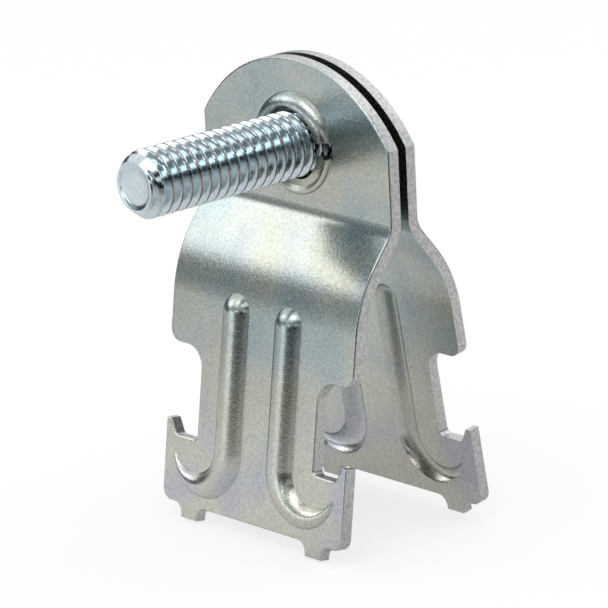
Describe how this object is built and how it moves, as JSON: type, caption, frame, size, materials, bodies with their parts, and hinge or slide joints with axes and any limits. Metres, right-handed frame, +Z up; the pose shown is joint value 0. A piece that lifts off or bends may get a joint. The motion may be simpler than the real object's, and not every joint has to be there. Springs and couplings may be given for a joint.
{
  "type": "strut pipe clamp",
  "caption": "Strut pipe clamp: bent, beaded sheet steel halves with hooked feet for a channel's lips, drawn together on a pipe by a slotted hex bolt.",
  "frame": {"origin": "point of the strut's top face under the bolt, midway between the two halves", "axes": "+X along the pipe and across the strut's slot, +Y along the bolt towards its head and along the strut, +Z up, away from the strut"},
  "size_m": [0.0318, 0.039, 0.0557],
  "materials": {
    "front_half": "zinc plated, satin, faint yellow passivation",
    "rear_half": "zinc plated, satin, faint yellow passivation",
    "bolt": "bright bluish zinc plate"
  },
  "bodies": {
    "front_half": {"front_half": "front_half"},
    "rear_half": {"rear_half": "rear_half"},
    "bolt": {"bolt": "bolt"}
  },
  "joints": [
    {"name": "clamp_close", "type": "slide", "parent": "front_half", "child": "rear_half", "axis": [0, 1, 0], "range_m": [-0.0011, 0.021]},
    {"name": "bolt_turn", "type": "hinge", "parent": "rear_half", "child": "bolt", "pos_m": [0, 0, 0.025], "axis": [0, 1, 0], "range_deg": [-285, 5365]}
  ],
  "couplings": [
    {"joint": "bolt_turn", "follows": "clamp_close", "rad_per_m": 4453}
  ]
}
